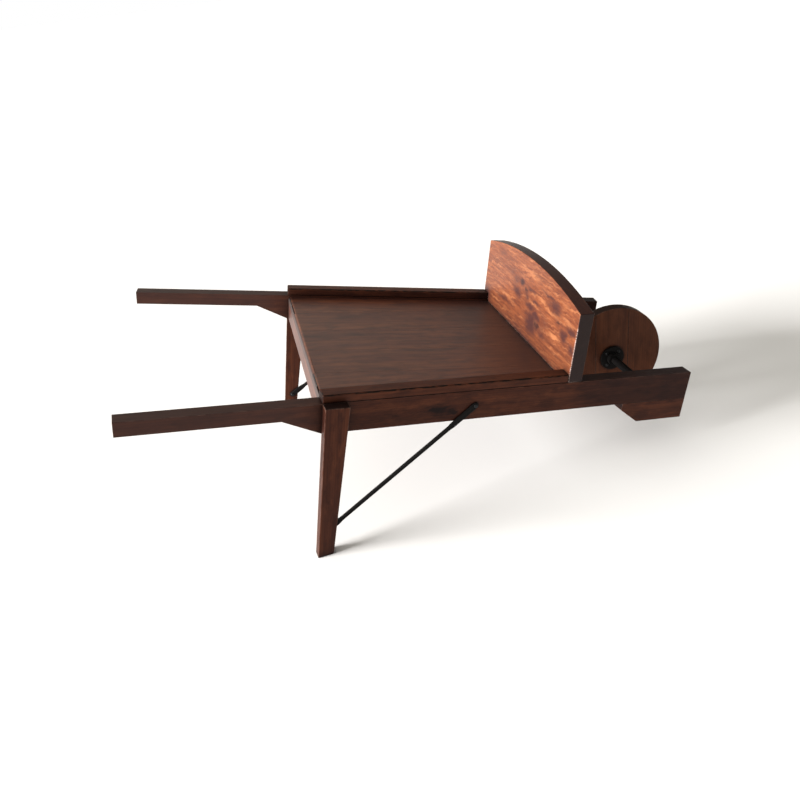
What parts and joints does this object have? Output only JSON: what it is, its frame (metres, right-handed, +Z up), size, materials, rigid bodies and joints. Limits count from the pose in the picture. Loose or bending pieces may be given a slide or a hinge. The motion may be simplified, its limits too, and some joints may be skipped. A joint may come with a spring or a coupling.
{
  "type": "wheelbarrow",
  "caption": "Low wooden wheelbarrow with a flat plank deck, arched headboard, straight handles, iron leg stays and a solid wooden wheel.",
  "frame": {"origin": "on the floor, under the middle of the bounding box", "axes": "+X towards the wheel, +Y towards the left-hand side as seen by a person at the handles, +Z up; the deck slopes down towards the wheel, as the barrow stands"},
  "size_m": [1.3734, 0.7858, 0.4619],
  "materials": {
    "frame_wood": "mahogany stain, gloss varnish",
    "deck_wood": "mahogany stain, gloss varnish",
    "headboard_wood": "knotty pine, orange-brown stain, gloss varnish",
    "wheel_wood": "dark stain, gloss varnish",
    "beech_dowel": "bare beech",
    "black_iron": "black enamel",
    "black_screws": "black",
    "plated_screws": "zinc plated",
    "bush_steel": "plain steel"
  },
  "bodies": {
    "frame": {"cross_rail_dowels": "beech_dowel", "deck_plank_1": "deck_wood", "deck_plank_2": "deck_wood", "deck_plank_3": "deck_wood", "deck_plank_4": "deck_wood", "deck_plank_5": "deck_wood", "deck_screws": "plated_screws", "front_cross_rail": "frame_wood", "headboard": "headboard_wood", "headboard_screws": "plated_screws", "left_beam": "frame_wood", "left_bush": "bush_steel", "left_leg": "frame_wood", "left_nose_block": "frame_wood", "left_side_rail": "frame_wood", "left_stay": "black_iron", "leg_screws": "plated_screws", "middle_cross_rail": "frame_wood", "nose_block_screws": "plated_screws", "rail_dowels": "beech_dowel", "rear_apron": "frame_wood", "right_beam": "frame_wood", "right_bush": "bush_steel", "right_leg": "frame_wood", "right_nose_block": "frame_wood", "right_side_rail": "frame_wood", "right_stay": "black_iron", "stay_screws": "black_screws"},
    "wheel": {"wheel_stave_rear": "wheel_wood", "wheel_stave_middle": "wheel_wood", "wheel_stave_front": "wheel_wood", "wheel_dowels": "beech_dowel", "right_hub_flange": "black_iron", "left_hub_flange": "black_iron", "hub_screws": "black_screws", "hub_set_screws": "black_screws", "axle": "black_iron"}
  },
  "joints": [
    {"name": "wheel_spin", "type": "hinge", "parent": "frame", "child": "wheel", "pos_m": [0.54421, 0, 0.1425], "axis": [0, 1, 0], "continuous": true}
  ]
}
